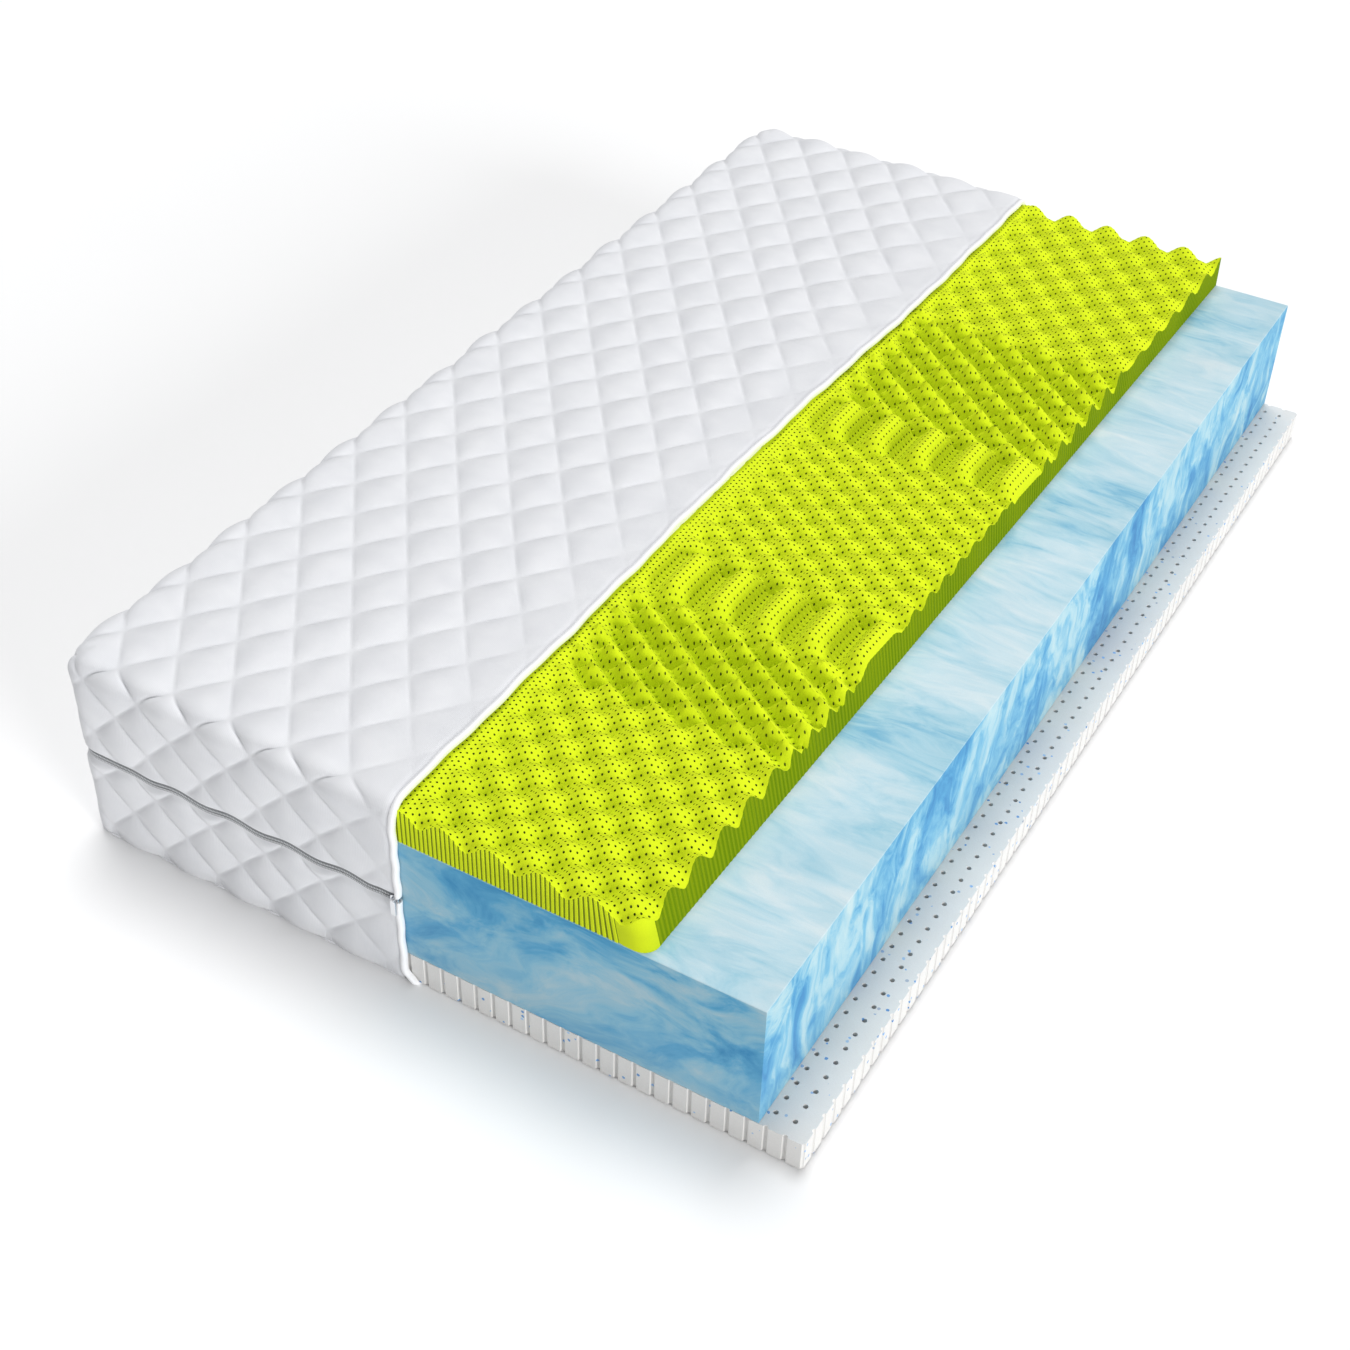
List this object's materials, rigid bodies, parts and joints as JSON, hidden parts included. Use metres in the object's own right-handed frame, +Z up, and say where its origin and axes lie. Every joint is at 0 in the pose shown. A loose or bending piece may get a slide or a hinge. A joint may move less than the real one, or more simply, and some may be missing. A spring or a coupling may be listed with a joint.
{
  "type": "memory foam mattress",
  "caption": "Stepped cut-away mattress: layered foam block under a zipped, diamond-quilted cover that ends at a bound cut edge.",
  "frame": {"origin": "on the floor, below the middle of the whole mattress", "axes": "+X across the mattress from the covered side to the open stepped side, +Y along it from the foot end to the head end, +Z up"},
  "size_m": [1.176, 2.0076, 0.334],
  "materials": {
    "base_foam": "matte",
    "core_foam": "matte",
    "comfort_foam": "matte",
    "ticking": "matte",
    "wadding": "matte",
    "backing": "matte",
    "binding": "satin",
    "zip_tape": "matte",
    "zip_coil": "satin",
    "zip_metal": "satin"
  },
  "bodies": {
    "mattress": {"base_foam": "base_foam", "core_foam": "core_foam", "comfort_foam": "comfort_foam", "cover_bottom_ticking": "ticking", "cover_bottom_wadding": "wadding", "cover_bottom_backing": "backing", "cover_bottom_panel": "ticking", "cover_bottom_binding": "binding", "zip_tape_lower": "zip_tape", "zip_coil_lower": "zip_coil"},
    "cover_top": {"cover_top_ticking": "ticking", "cover_top_wadding": "wadding", "cover_top_backing": "backing", "cover_top_binding": "binding", "zip_tape_upper": "zip_tape", "zip_coil_upper": "zip_coil"},
    "zip_slider": {"zip_slider": "zip_metal"},
    "zip_pull": {"zip_pull": "zip_metal"}
  },
  "joints": [
    {"name": "cover_lift", "type": "slide", "parent": "mattress", "child": "cover_top", "axis": [0, 0, 1], "range_m": [0, 0.25]},
    {"name": "slider_travel", "type": "slide", "parent": "mattress", "child": "zip_slider", "axis": [-1, 0, 0], "range_m": [0, 0.5]},
    {"name": "pull_swing", "type": "hinge", "parent": "zip_slider", "child": "zip_pull", "pos_m": [-0.024, -1.0024, 0.1632], "axis": [-1, 0, 0], "range_deg": [0, 165]}
  ]
}
